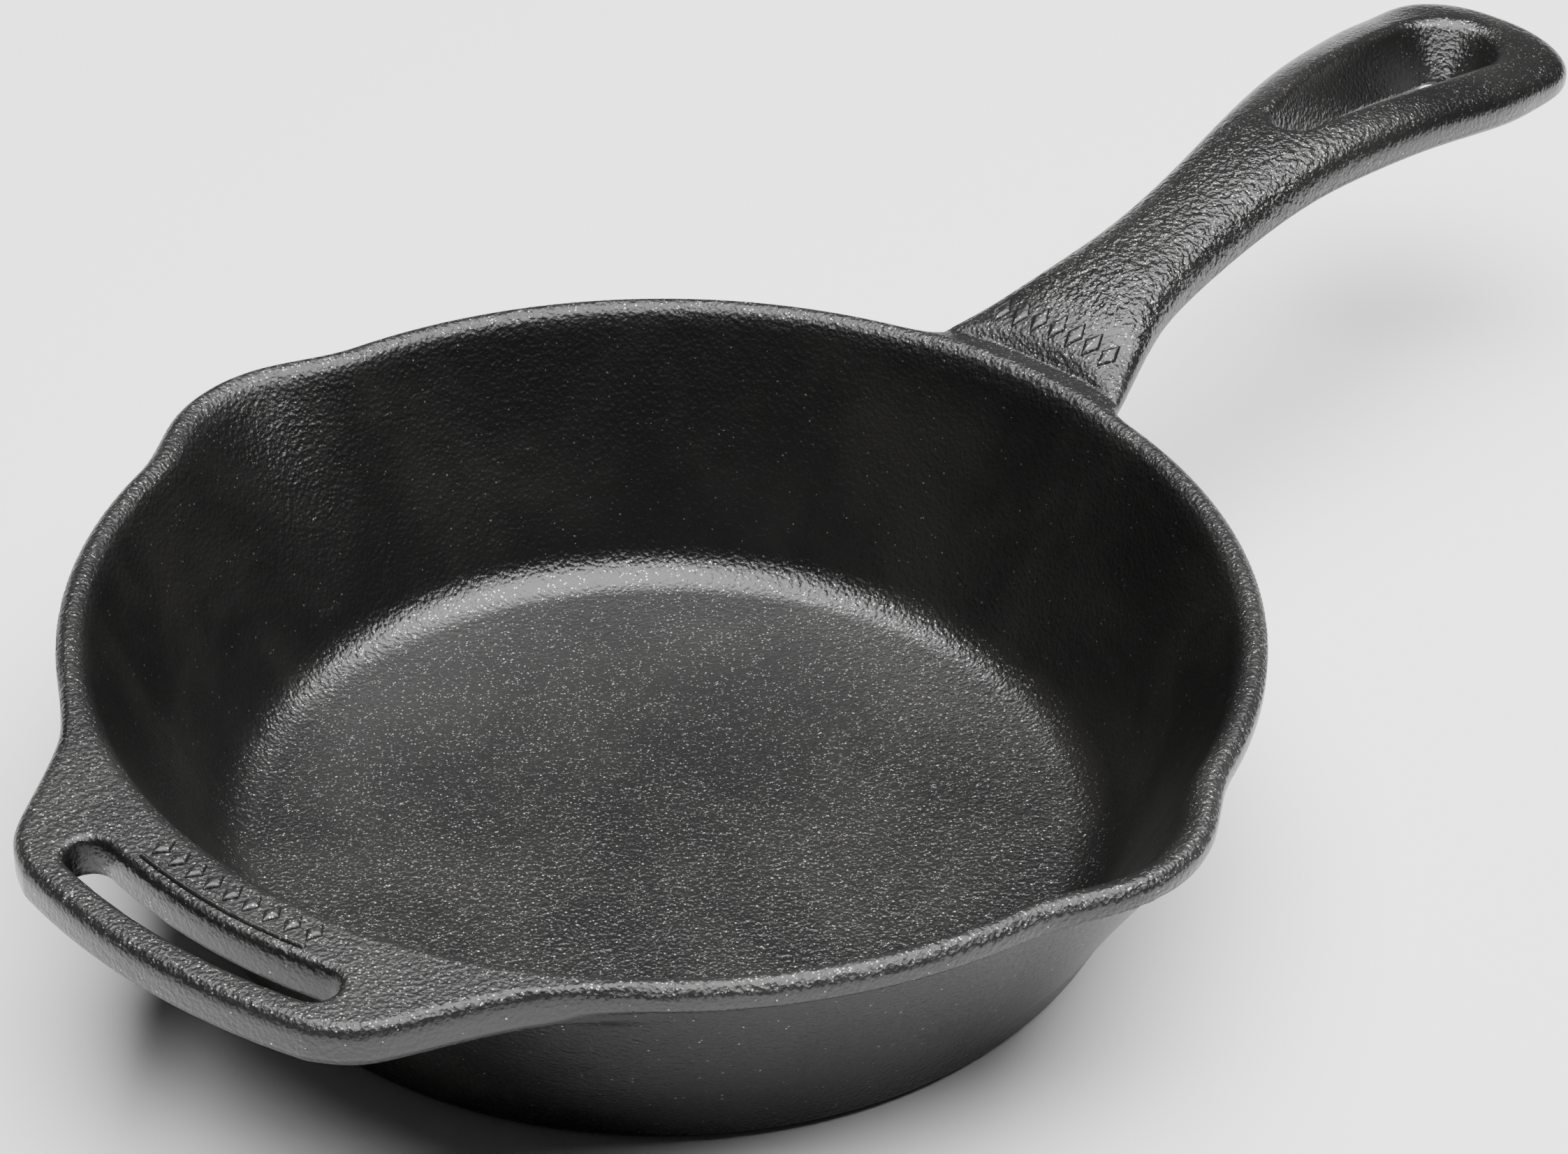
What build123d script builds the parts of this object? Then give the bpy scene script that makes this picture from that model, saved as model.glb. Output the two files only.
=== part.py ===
from build123d import *

# Cast iron skillet, 20 cm class. The single casting is divided face to face
# into named regions that touch and never overlap, plus the raised marks.
#
# Frame: origin at the centre of the resting face, +Z up, long handle along +X,
# helper handle along -X, pour spouts along +Y and -Y. Millimetres.

import os
from math import cos, pi, radians, sin, sqrt, tan

# ---------------------------------------------------------------- dimensions
# Bowl and rim
HEIGHT = 52.0            # resting face to rim top
RIM_R = 105.0            # outer radius of the rim band
RIM_BAND_H = 4.6         # height of the vertical rim band
RIM_STEP = 1.6           # how far the rim band stands proud of the wall below it
RIM_TOP_R = 2.4          # rounding of the rim's outer top edge
WALL_TOP_DROP = 1.2      # the leaning outer wall ends this far below the rim band
MOUTH_R = 100.0          # inner radius at the mouth, below the inner rounding
MOUTH_EDGE_R = 1.8       # rounding of the rim's inner top edge
MOUTH_STOCK = 2.0        # extra metal at the mouth, cut away later by the cavity
FLOOR_T = 5.0            # floor thickness
WALL_LEAN = 26.0         # lean of the wall from vertical, degrees
INNER_FILLET = 10.0      # floor to wall, inside
BASE_CORNER_R = 5.0      # rounding of the outer bottom corner
CAVITY_RISE = 20.0       # how far the cavity cutter stands above the rim

# Pour spouts
SPOUT_REACH = 111.5      # radius reached by a pour spout's lip
SPOUT_LOBE_R = 30.0      # plan radius of a pour spout at the rim band
SPOUT_CONE_INSET = 0.8   # the outer cone's top is this much smaller in radius
SPOUT_LIP_T = 4.0        # lip thickness at a pour spout
SPOUT_BLEND_R = 25.0     # plan radius that blends a spout into the rim
SPOUT_NOTCH_Y = 80.0     # the corners between spout and rim lie beyond this |y|
SPOUT_LOW_Z = HEIGHT - 27.0   # foot of a spout's bulge
SPOUT_LOW_R = 20.0       # radius of the outer cone's foot
SPOUT_LOW_T = 3.0        # the inner cone's foot is this much smaller in radius
SPOUT_SINK = 0.4         # how far each cone's foot is sunk behind its wall face

# Helper handle
HELPER_R = 126.2         # outer radius of the helper handle
HELPER_T = 8.2           # thickness of the helper handle's shelf
HELPER_LOW_EDGE_R = 2.2  # rounding of its lower edges
SLOT_IN_R = 112.2        # slot of the helper handle, side of the pan
SLOT_OUT_R = 120.0       # slot of the helper handle, outer side
SLOT_HALF_DEG = 12.6     # half the angle that the slot's centre line spans
SLOT_OVERCUT = 5.0       # how far the slot cutter passes the shelf at each face
SLOT_EDGE_R = 1.6        # rounding of the slot's edges

# One side of the helper handle from the rim outwards: distance towards -X, y.
HELPER_SIDE = [
    (76.0, 66.0), (85.0, 60.0), (92.5, 54.0), (101.5, 48.2),
    (111.0, 43.0), (117.5, 38.6), (122.2, 31.5),
]

# Long handle stations: x, half width, height of the parting line, crown above
# it, depth below it.
HANDLE = [
    (97.0, 22.0, 48.6, 2.6, 6.0),
    (106.0, 20.4, 49.9, 3.4, 5.3),
    (113.0, 18.2, 51.0, 4.4, 5.2),
    (121.0, 15.7, 52.7, 5.6, 4.9),
    (130.0, 13.4, 54.7, 6.2, 5.1),
    (142.0, 11.9, 56.2, 6.6, 4.9),
    (154.0, 11.7, 57.8, 6.7, 4.7),
    (166.0, 12.2, 59.6, 6.9, 4.8),
    (182.0, 13.9, 61.7, 7.0, 5.4),
    (198.0, 16.5, 62.0, 7.3, 5.6),
    (214.0, 19.0, 61.0, 7.4, 5.7),
    (230.0, 21.2, 59.0, 7.0, 6.2),
    (244.0, 22.3, 57.3, 6.2, 6.6),
    (256.0, 22.1, 56.1, 5.7, 5.9),
    (264.0, 18.5, 55.6, 5.4, 5.4),
    (267.6, 11.3, 55.2, 4.7, 4.8),
]
SECTION_POINTS = 28      # spline points round one station
BELLY_SQUARENESS = 2.9   # superellipse exponent below the parting line; 2 is an oval

# Handle tip, relative to the last station
TIP_X = 269.2
TIP_DROP = 0.4
TIP_WIDTH_RATIO = 0.45
TIP_DEPTH_RATIO = 0.5

# The eye is drafted. At each height: x and radius of the arc nearer the pan,
# then x and radius of the outer arc.
EYE_LOW_Z, EYE_LOW = 49.5, (198.7, 0.72, 245.8, 2.52)
EYE_HIGH_Z, EYE_HIGH = 72.0, (189.7, 5.94, 248.3, 18.7)
EYE_EDGE_R = 1.2         # rounding of the eye's edges
EYE_ZONE_X = (180.0, 262.5)   # the eye's edges lie within this range of x
EYE_ZONE_HALF_Y = 14.5        # and within this |y|

# Borders between the regions
SPLIT_FLOOR_Z = 6.0      # floor region below, wall region above
SPLIT_RIM_Z = HEIGHT - RIM_BAND_H - 0.6
HANDLE_INSIDE_TOP = HEIGHT - 0.8   # top of the handle metal inside the rim radius
ROOT_END_X = 130.0       # handle root region ends here, grip begins
GRIP_END_X = 182.0       # grip region ends here, hanging loop begins
SPOUT_ZONE_HALF_X = 25.0
SPOUT_ZONE_MID_Y = 100.0
SPOUT_ZONE_SIZE = 80.0   # length and height of a spout's region
RIM_CUTTER_H = 200.0     # height of the cylinder that divides handles from pan

# Raised marks
MARK_H = 0.7             # height of the raised marks
HELPER_MARK_R = 105.8    # radius of the row of marks on the helper handle
HELPER_MARK_STEP = 2.3   # degrees between those marks
HELPER_BAR_R = 109.6     # radius of the thin bar outside that row
HELPER_BAR_HALF_DEG = 9.6
HELPER_BAR_W = 0.9
ROOT_MARK_R = 114.0      # radius of the row of marks on the handle root
ROOT_MARK_STEP = 2.1     # degrees between those marks
ROOT_MARK_LOW_Z = HEIGHT - 8   # foot of the lozenge prisms cut to the handle's top
ROOT_MARK_PRISM_H = 20.0


# ------------------------------------------------------------------- helpers
def at_x(vertices, x):
    """The vertices that lie at x."""
    return vertices.filter_by_position(Axis.X, x - 0.1, x + 0.1)


def ruled_cone(y_top, r_top, z_top, y_low, r_low):
    """An oblique cone from a spout's foot up to a circle at z_top."""
    with BuildPart() as cone:
        with BuildSketch(Plane.XY.offset(SPOUT_LOW_Z)):
            with Locations((0, y_low)):
                Circle(r_low)
        with BuildSketch(Plane.XY.offset(z_top)):
            with Locations((0, y_top)):
                Circle(r_top)
        loft(ruled=True)
    return cone.part


def station_points(half_width, crown, depth):
    """Points round one handle section: an oval crown over a squarer drafted belly."""
    points = []
    for i in range(SECTION_POINTS):
        angle = 2 * pi * i / SECTION_POINTS
        c, s = cos(angle), sin(angle)
        if s >= 0:
            points.append((half_width * c, crown * s))
        else:
            power = 2.0 / BELLY_SQUARENESS
            side = 1 if c > 0 else -1
            points.append((half_width * side * abs(c) ** power, -depth * abs(s) ** power))
    return points


def loft_stations(stations):
    """A smooth loft through handle stations."""
    with BuildPart() as body:
        for x, half_width, z, crown, depth in stations:
            with BuildSketch(Plane(origin=(x, 0, z), x_dir=(0, 1, 0), z_dir=(1, 0, 0))):
                with BuildLine():
                    Spline(*station_points(half_width, crown, depth), periodic=True)
                make_face()
        loft()
    return body.part


def teardrop(x1, r1, x2, r2):
    """Hull of two circles on the X axis, drawn in the active sketch."""
    tilt = (r1 - r2) / (x2 - x1)   # sine of the angle of the common tangents
    tilt_cos = sqrt(1 - tilt * tilt)
    t1 = (x1 + r1 * tilt, r1 * tilt_cos)
    t2 = (x2 + r2 * tilt, r2 * tilt_cos)
    with BuildLine() as outline:
        Line(t1, t2)
        ThreePointArc(t2, (x2 + r2, 0), (t2[0], -t2[1]))
        Line((t2[0], -t2[1]), (t1[0], -t1[1]))
        ThreePointArc((t1[0], -t1[1]), (x1 - r1, 0), t1)
    make_face(outline.edges())


def helper_arc(radius, half_deg):
    """An arc about the origin, centred on -X."""
    return Edge.make_circle(radius, start_angle=180 - half_deg, end_angle=180 + half_deg)


def lozenge_row(radius, middle_deg, step, count, half_length, half_width):
    """An arc of lozenges, long axes radial, drawn in the active sketch."""
    span = (count - 1) * step
    with PolarLocations(
        radius, count, start_angle=middle_deg - span / 2, angular_range=span, endpoint=True
    ):
        Polygon((half_length, 0), (0, half_width), (-half_length, 0), (0, -half_width))


def is_eye_edge(edge):
    """True for a curved edge that lies wholly around the handle's eye."""
    points = [edge @ t for t in (0, 0.25, 0.5, 0.75, 1)]
    return edge.geom_type != GeomType.LINE and all(
        abs(p.Y) < EYE_ZONE_HALF_Y and EYE_ZONE_X[0] < p.X < EYE_ZONE_X[1] for p in points
    )


def is_slot_mouth(edge):
    """True for a level edge in the band of radii that the slot covers."""
    middle = edge @ 0.5
    radius = sqrt(middle.X ** 2 + middle.Y ** 2)
    level = abs((edge @ 0).Z - (edge @ 1).Z) < 0.01
    return SLOT_IN_R - 1 < radius < SLOT_OUT_R + 1 and level


def trimmed(part, *cuts):
    """The part after each (plane, side to keep) cut in turn."""
    with BuildPart() as piece:
        add(part)
        for plane, keep in cuts:
            split(bisect_by=plane, keep=keep)
    return piece.part


# ------------------------------------------------------------- bowl and cavity
lean = tan(radians(WALL_LEAN))
outer_top_r = RIM_R - RIM_STEP
outer_top_z = HEIGHT - RIM_BAND_H - WALL_TOP_DROP
outer_foot_r = outer_top_r - lean * outer_top_z
inner_foot_r = MOUTH_R - lean * (HEIGHT - MOUTH_EDGE_R - FLOOR_T)

# Revolved floor and wall, up to where the rim's rounding starts.
with BuildPart() as bowl:
    with BuildSketch(Plane.XZ) as wall_section:
        with BuildLine():
            Polyline(
                (0, 0),
                (outer_foot_r, 0),
                (outer_top_r, outer_top_z),
                (outer_top_r, HEIGHT - RIM_TOP_R),
                (MOUTH_R - MOUTH_STOCK, HEIGHT - RIM_TOP_R),
                (inner_foot_r, FLOOR_T),
                (0, FLOOR_T),
                close=True,
            )
        make_face()
        corners = wall_section.vertices()
        fillet(at_x(corners, outer_foot_r), BASE_CORNER_R)
        fillet(at_x(corners, inner_foot_r), INNER_FILLET)
    revolve(axis=Axis.Z)

# Hollows the pan and keeps the spouts and handle roots out of it.
with BuildPart() as cavity:
    with BuildSketch(Plane.XZ) as cavity_section:
        with BuildLine():
            Polyline(
                (0, FLOOR_T),
                (inner_foot_r, FLOOR_T),
                (MOUTH_R, HEIGHT),
                (MOUTH_R, HEIGHT + CAVITY_RISE),
                (0, HEIGHT + CAVITY_RISE),
                close=True,
            )
        make_face()
        fillet(at_x(cavity_section.vertices(), inner_foot_r), INNER_FILLET)
    revolve(axis=Axis.Z)

# ------------------------------------------------------------- spouts and rim
# Each spout is an oblique cone that leans out of the wall, less a smaller one.
lobe_y = SPOUT_REACH - SPOUT_LOBE_R
low_out_wall_r = outer_foot_r + lean * SPOUT_LOW_Z
low_in_wall_r = inner_foot_r + lean * (SPOUT_LOW_Z - FLOOR_T)
low_in_r = SPOUT_LOW_R - SPOUT_LOW_T

spout_out = ruled_cone(
    y_top=lobe_y,
    r_top=SPOUT_LOBE_R - SPOUT_CONE_INSET,
    z_top=HEIGHT - RIM_TOP_R,
    y_low=low_out_wall_r - SPOUT_LOW_R - SPOUT_SINK,
    r_low=SPOUT_LOW_R,
)
spout_in = ruled_cone(
    y_top=lobe_y,
    r_top=SPOUT_LOBE_R - SPOUT_LIP_T,
    z_top=HEIGHT,
    y_low=low_in_wall_r - low_in_r - SPOUT_SINK,
    r_low=low_in_r,
)

# Rim band, still a full disc: its outline bulges at the spouts.
with BuildPart() as rim_disc:
    with BuildSketch(Plane.XY.offset(HEIGHT - RIM_BAND_H)) as rim_plan:
        Circle(RIM_R)
        with Locations((0, lobe_y), (0, -lobe_y)):
            Circle(SPOUT_LOBE_R)
        notches = rim_plan.vertices().filter_by(lambda p: abs(p.Y) > SPOUT_NOTCH_Y)
        fillet(notches, SPOUT_BLEND_R)
    extrude(amount=RIM_BAND_H)
    fillet(rim_disc.faces().sort_by(Axis.Z)[-1].edges(), RIM_TOP_R)

# Bowl, rim band and spouts together, hollowed, with the inner lip edge rounded.
with BuildPart() as pan:
    add(bowl.part)
    add(rim_disc.part)
    add(spout_out)
    mirror(spout_out, about=Plane.XZ)
    add(cavity.part, mode=Mode.SUBTRACT)
    add(spout_in, mode=Mode.SUBTRACT)
    mirror(spout_in, about=Plane.XZ, mode=Mode.SUBTRACT)
    top_face = pan.faces().filter_by(Axis.Z).sort_by(Axis.Z)[-1]
    fillet(top_face.inner_wires()[0].edges(), MOUTH_EDGE_R)

# The handles are divided from the pan at the rim's radius.
with BuildPart() as rim_cylinder:
    Cylinder(RIM_R, RIM_CUTTER_H)

# ---------------------------------------------------------------- long handle
end_x, end_half_width, end_z, end_crown, end_depth = HANDLE[-1]
tip_station = (
    TIP_X,
    end_half_width * TIP_WIDTH_RATIO,
    end_z - TIP_DROP,
    end_crown * TIP_DEPTH_RATIO,
    end_depth * TIP_DEPTH_RATIO,
)
handle = loft_stations(HANDLE)
handle_tip = loft_stations([HANDLE[-1], tip_station])

# Teardrop eye through the broad end of the handle, wider towards the top.
with BuildPart() as eye:
    with BuildSketch(Plane.XY.offset(EYE_LOW_Z)):
        teardrop(*EYE_LOW)
    with BuildSketch(Plane.XY.offset(EYE_HIGH_Z)):
        teardrop(*EYE_HIGH)
    loft(ruled=True)

with BuildPart() as long_handle:
    add(handle)
    add(handle_tip)
    add(eye.part, mode=Mode.SUBTRACT)
    fillet([e for e in long_handle.edges() if is_eye_edge(e)], EYE_EDGE_R)

with BuildPart() as handle_inside:
    add(handle)
    add(rim_cylinder.part, mode=Mode.INTERSECT)
    split(bisect_by=Plane.XY.offset(HANDLE_INSIDE_TOP), keep=Keep.BOTTOM)

with BuildPart() as handle_outside:
    add(long_handle.part)
    add(rim_cylinder.part, mode=Mode.SUBTRACT)

# -------------------------------------------------------------- helper handle
# A flat shelf flush with the rim, its sides flowing into the rim.
root_x, root_y = HELPER_SIDE[0]
tip_x, tip_y = HELPER_SIDE[-1]
with BuildPart() as helper:
    with BuildSketch(Plane.XY.offset(HEIGHT - HELPER_T)):
        with BuildLine():
            Spline(*[(-x, y) for x, y in HELPER_SIDE])
            ThreePointArc((-tip_x, tip_y), (-HELPER_R, 0), (-tip_x, -tip_y))
            Spline(*[(-x, -y) for x, y in reversed(HELPER_SIDE)])
            Line((-root_x, -root_y), (-root_x, root_y))
        make_face()
    extrude(amount=HELPER_T)
    for face_index, radius in ((-1, RIM_TOP_R), (0, HELPER_LOW_EDGE_R)):
        face = helper.faces().filter_by(Axis.Z).sort_by(Axis.Z)[face_index]
        fillet(face.edges().filter_by(GeomType.LINE, reverse=True), radius)

with BuildPart() as slot:
    with BuildSketch(Plane.XY.offset(HEIGHT - HELPER_T - SLOT_OVERCUT)):
        SlotArc(
            helper_arc((SLOT_IN_R + SLOT_OUT_R) / 2, SLOT_HALF_DEG),
            SLOT_OUT_R - SLOT_IN_R,
        )
    extrude(amount=HELPER_T + 2 * SLOT_OVERCUT)

with BuildPart() as helper_inside:
    add(helper.part)
    add(rim_cylinder.part, mode=Mode.INTERSECT)

with BuildPart() as helper_handle:
    add(helper.part)
    add(rim_cylinder.part, mode=Mode.SUBTRACT)
    add(slot.part, mode=Mode.SUBTRACT)
    arcs = helper_handle.edges().filter_by(GeomType.CIRCLE)
    fillet([e for e in arcs if is_slot_mouth(e)], SLOT_EDGE_R)

# ------------------------------------------------------- the casting's regions
# The pan proper is everything inside the rim's radius, plus the two spouts.
with BuildPart() as pan_body:
    add(pan.part)
    add(handle_inside.part)
    add(helper_inside.part)
    add(cavity.part, mode=Mode.SUBTRACT)

with BuildPart() as spout_zone:
    with Locations((0, SPOUT_ZONE_MID_Y, SPOUT_LOW_Z)):
        Box(
            2 * SPOUT_ZONE_HALF_X,
            SPOUT_ZONE_SIZE,
            SPOUT_ZONE_SIZE,
            align=(Align.CENTER, Align.CENTER, Align.MIN),
        )

with BuildPart() as pour_spout_left:
    add(pan_body.part)
    add(spout_zone.part, mode=Mode.INTERSECT)

with BuildPart() as pour_spout_right:
    mirror(pour_spout_left.part, about=Plane.XZ)

# Wall and rim band, without the spouts.
with BuildPart() as upper:
    add(pan_body.part)
    split(bisect_by=Plane.XY.offset(SPLIT_FLOOR_Z), keep=Keep.TOP)
    add(spout_zone.part, mode=Mode.SUBTRACT)
    mirror(spout_zone.part, about=Plane.XZ, mode=Mode.SUBTRACT)

floor_plane = Plane.XY.offset(SPLIT_FLOOR_Z)
rim_plane = Plane.XY.offset(SPLIT_RIM_Z)
root_plane = Plane.YZ.offset(ROOT_END_X)
grip_plane = Plane.YZ.offset(GRIP_END_X)

# --------------------------------------------------------------- raised marks
# A row of lozenges and one thin bar on the helper handle.
with BuildPart() as helper_marks:
    with BuildSketch(Plane.XY.offset(HEIGHT)):
        lozenge_row(
            HELPER_MARK_R, 180, HELPER_MARK_STEP, count=9, half_length=2.3, half_width=1.4
        )
        SlotArc(helper_arc(HELPER_BAR_R, HELPER_BAR_HALF_DEG), HELPER_BAR_W)
    extrude(amount=MARK_H)

# Lozenges that follow the handle's top: the skin between it and a raised copy.
raised_handle = handle.moved(Location((0, 0, MARK_H)))
with BuildPart() as root_marks:
    with BuildSketch(Plane.XY.offset(ROOT_MARK_LOW_Z)):
        lozenge_row(ROOT_MARK_R, 0, ROOT_MARK_STEP, count=7, half_length=3.1, half_width=1.6)
    extrude(amount=ROOT_MARK_PRISM_H)
    add(raised_handle, mode=Mode.INTERSECT)
    add(handle, mode=Mode.SUBTRACT)

# ---------------------------------------------------------------- output files
outside = handle_outside.part
pieces = {
    "pan_floor": trimmed(pan_body.part, (floor_plane, Keep.BOTTOM)),
    "side_wall": trimmed(upper.part, (rim_plane, Keep.BOTTOM)),
    "rim_band_handle_side": trimmed(upper.part, (rim_plane, Keep.TOP), (Plane.YZ, Keep.TOP)),
    "rim_band_helper_side": trimmed(upper.part, (rim_plane, Keep.TOP), (Plane.YZ, Keep.BOTTOM)),
    "pour_spout_left": pour_spout_left.part,
    "pour_spout_right": pour_spout_right.part,
    "handle_root": trimmed(outside, (root_plane, Keep.BOTTOM)),
    "handle_grip": trimmed(outside, (root_plane, Keep.TOP), (grip_plane, Keep.BOTTOM)),
    "hanging_loop": trimmed(outside, (grip_plane, Keep.TOP)),
    "helper_handle": helper_handle.part,
    "helper_marks": helper_marks.part,
    "root_marks": root_marks.part,
}

os.makedirs("parts", exist_ok=True)
for name, part in pieces.items():
    part.label = name
    export_step(part, f"parts/{name}.step")
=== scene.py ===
"""Cast iron skillet: base on z = 0, pan axis on z, long handle towards +x, short helper
handle towards -x, a pour spout on each of +y and -y.

The casting is one signed field (negative inside), meshed and then cut into the CAD's pieces.
Shapes are in millimetres; materials and studio are in metres."""

import math
from itertools import product

import bpy
import numpy as np
from mathutils import Matrix, Vector


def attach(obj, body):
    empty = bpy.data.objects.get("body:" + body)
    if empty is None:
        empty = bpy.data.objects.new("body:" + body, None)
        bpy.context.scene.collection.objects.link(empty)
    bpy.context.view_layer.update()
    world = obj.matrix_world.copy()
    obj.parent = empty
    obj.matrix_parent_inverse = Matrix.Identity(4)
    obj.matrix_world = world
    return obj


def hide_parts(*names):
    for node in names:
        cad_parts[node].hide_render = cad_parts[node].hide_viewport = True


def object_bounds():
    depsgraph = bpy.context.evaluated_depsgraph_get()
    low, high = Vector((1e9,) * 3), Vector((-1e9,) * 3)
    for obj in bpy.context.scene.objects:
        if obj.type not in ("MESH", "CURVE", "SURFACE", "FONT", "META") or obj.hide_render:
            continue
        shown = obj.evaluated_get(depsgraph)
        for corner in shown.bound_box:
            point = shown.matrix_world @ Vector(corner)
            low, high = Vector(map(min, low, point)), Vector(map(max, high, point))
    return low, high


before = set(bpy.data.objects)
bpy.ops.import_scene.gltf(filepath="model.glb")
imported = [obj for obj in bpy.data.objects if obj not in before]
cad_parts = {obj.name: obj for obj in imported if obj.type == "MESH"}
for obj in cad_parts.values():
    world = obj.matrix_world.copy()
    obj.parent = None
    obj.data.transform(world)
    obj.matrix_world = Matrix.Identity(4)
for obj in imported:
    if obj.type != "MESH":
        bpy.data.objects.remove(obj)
cad_low, cad_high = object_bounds()

# ------------------------------------------------------------------ pan, mm
HEIGHT = 52.0
LEAN_ANGLE = math.radians(26.0)      # wall from the vertical
LEAN, COS_LEAN, SIN_LEAN = math.tan(LEAN_ANGLE), math.cos(LEAN_ANGLE), math.sin(LEAN_ANGLE)
RIM_R, RIM_TOP_ROUND = 105.0, 2.4
MOUTH_R, MOUTH_ROUND = 100.0, 1.8
BAND_LOW_Z = 47.4                    # underside of the rim band
BODY_TOP_Z = HEIGHT - 2.0
FLOOR_T, INNER_FILLET, BASE_ROUND = 5.0, 10.0, 5.0
WALL_R, WALL_Z = 103.4, 46.2         # a point on the outer wall line
OUTER_FOOT_R = WALL_R - LEAN * WALL_Z
INNER_FOOT_R = MOUTH_R - LEAN * (HEIGHT - MOUTH_ROUND - FLOOR_T)

# spouts: leaning cones whose circles are centred on x = 0
SPOUT_Y, SPOUT_R, LIP_T = 81.5, 30.0, 4.0
SPOUT_BODY_INSET = 0.8               # spout body inside the rim outline
SPOUT_LOW_Z, SPOUT_LOW_R, SPOUT_LOW_T = 25.0, 20.0, 3.0
SPOUT_WALL_INSET = 0.4               # low circle inside the pan wall
SPOUT_END_Z = SPOUT_LOW_Z - 8

# helper handle, its arc-shaped slot and one side of its outline as (distance along -x, y)
HELPER_R, HELPER_T, HELPER_ROUND = 126.2, 8.2, 2.3
SLOT_IN_R, SLOT_OUT_R, SLOT_HALF_ANGLE = 112.2, 120.0, math.radians(12.6)
HELPER_SIDE = np.array([
    (76.0, 66.0), (85.0, 60.0), (92.5, 54.0), (101.5, 48.2), (111.0, 43.0), (117.5, 38.6),
    (122.2, 31.5),
])

# long handle stations: x, half width, z of the widest line, height above it, depth below it
HANDLE = np.array([
    (97.0, 22.0, 48.6, 2.6, 6.0), (106.0, 20.4, 49.9, 3.4, 5.3), (113.0, 18.2, 51.0, 4.4, 5.2),
    (121.0, 15.7, 52.7, 5.6, 4.9), (130.0, 13.4, 54.7, 6.2, 5.1), (142.0, 11.9, 56.2, 6.6, 4.9),
    (154.0, 11.7, 57.8, 6.7, 4.7), (166.0, 12.2, 59.6, 6.9, 4.8), (182.0, 13.9, 61.7, 7.0, 5.4),
    (198.0, 16.5, 62.0, 7.3, 5.6), (214.0, 19.0, 61.0, 7.4, 5.7), (230.0, 21.2, 59.0, 7.0, 6.2),
    (244.0, 22.3, 57.3, 6.2, 6.6), (256.0, 22.1, 56.1, 5.7, 5.9), (264.0, 18.5, 55.6, 5.4, 5.4),
    (267.6, 11.3, 55.2, 4.7, 4.8),
])
HANDLE_START, HANDLE_END = 94.0, 269.2
TIP_PLAN_X, TIP_PLAN_POWER = 247.0, 4.4    # where the plan starts to close, and how squarely
TIP_DEPTH_X = HANDLE[-2, 0]                # where the thickness starts to close
TIP_DEPTH_LEFT = 0.30                      # share of the thickness left at the very end
POWER_ABOVE, POWER_BELOW = 2.45, 2.9       # superellipse powers of the cross-section

# hanging eye: two circles per height, as (x, radius, x, radius)
EYE_LOW_Z, EYE_HIGH_Z = 49.5, 72.0
EYE_LOW, EYE_HIGH = (198.7, 0.72, 245.8, 2.52), (189.7, 5.94, 248.3, 18.7)
EYE_SLOPES = (0.63, 0.8, 0.5)              # draft at the inner circle, outer circle, sides
OPENING_ROUND = 1.6                        # edge of the eye and of the helper slot

# widths of the smooth blends
BULGE_BLEND, PLAN_BLEND, CAVITY_BLEND = 6.0, 4.5, 4.0
BAND_BLEND, UNDERSIDE_BLEND = 1.5, 1.0
HANDLE_BLEND, HELPER_BLEND, STEP_BLEND = 3.0, 3.0, 1.0

# the neck's step above the rim: height, start radius, rise per mm, field scale
STEP_Z, STEP_R, STEP_RISE, STEP_SCALE = 51.5, 107.6, 0.95, 0.75


def natural_spline(knots, values, at):
    """Natural cubic spline through (knots, values)."""
    count = len(knots)
    gap = np.diff(knots)
    system, right = np.eye(count), np.zeros(count)
    for i in range(1, count - 1):
        system[i, i - 1:i + 2] = gap[i - 1], 2 * (gap[i - 1] + gap[i]), gap[i]
        right[i] = 3 * ((values[i + 1] - values[i]) / gap[i]
                        - (values[i] - values[i - 1]) / gap[i - 1])
    square = np.linalg.solve(system, right)
    i = np.clip(np.searchsorted(knots, at) - 1, 0, count - 2)
    t = at - knots[i]
    cube = (square[i + 1] - square[i]) / (3 * gap[i])
    slope = (values[i + 1] - values[i]) / gap[i] - gap[i] * (2 * square[i] + square[i + 1]) / 3
    return values[i] + slope * t + square[i] * t * t + cube * t ** 3


def polygon_distance(outline, grid_x, grid_y):
    """Signed distance to a closed outline over a grid, negative inside."""
    X, Y = np.meshgrid(grid_x, grid_y, indexing="ij")
    distance = np.full(X.shape, 1e9)
    inside = np.zeros(X.shape, bool)
    for (ax, ay), (bx, by) in zip(outline, np.roll(outline, -1, axis=0)):
        ex, ey = bx - ax, by - ay
        t = np.clip(((X - ax) * ex + (Y - ay) * ey) / (ex * ex + ey * ey + 1e-12), 0, 1)
        distance = np.minimum(distance, np.hypot(X - ax - t * ex, Y - ay - t * ey))
        spans = (ay > Y) != (by > Y)
        crossing_x = ax + (Y - ay) * ex / (ey if abs(ey) > 1e-12 else 1e-12)
        inside ^= spans & (X < crossing_x)
    return np.where(inside, -distance, distance)


def table_at(table, grid_x, grid_y, x, y):
    """Bilinear lookup, growing with distance outside the table."""
    u = np.clip((x - grid_x[0]) / (grid_x[1] - grid_x[0]), 0, len(grid_x) - 1.001)
    w = np.clip((y - grid_y[0]) / (grid_y[1] - grid_y[0]), 0, len(grid_y) - 1.001)
    i, j = u.astype(int), w.astype(int)
    a, b = u - i, w - j
    value = (table[i, j] * (1 - a) * (1 - b) + table[i + 1, j] * a * (1 - b)
             + table[i, j + 1] * (1 - a) * b + table[i + 1, j + 1] * a * b)
    beyond_x = np.maximum(grid_x[0] - x, 0) + np.maximum(x - grid_x[-1], 0)
    return value + (beyond_x + np.maximum(np.abs(y) - grid_y[-1], 0))


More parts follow.
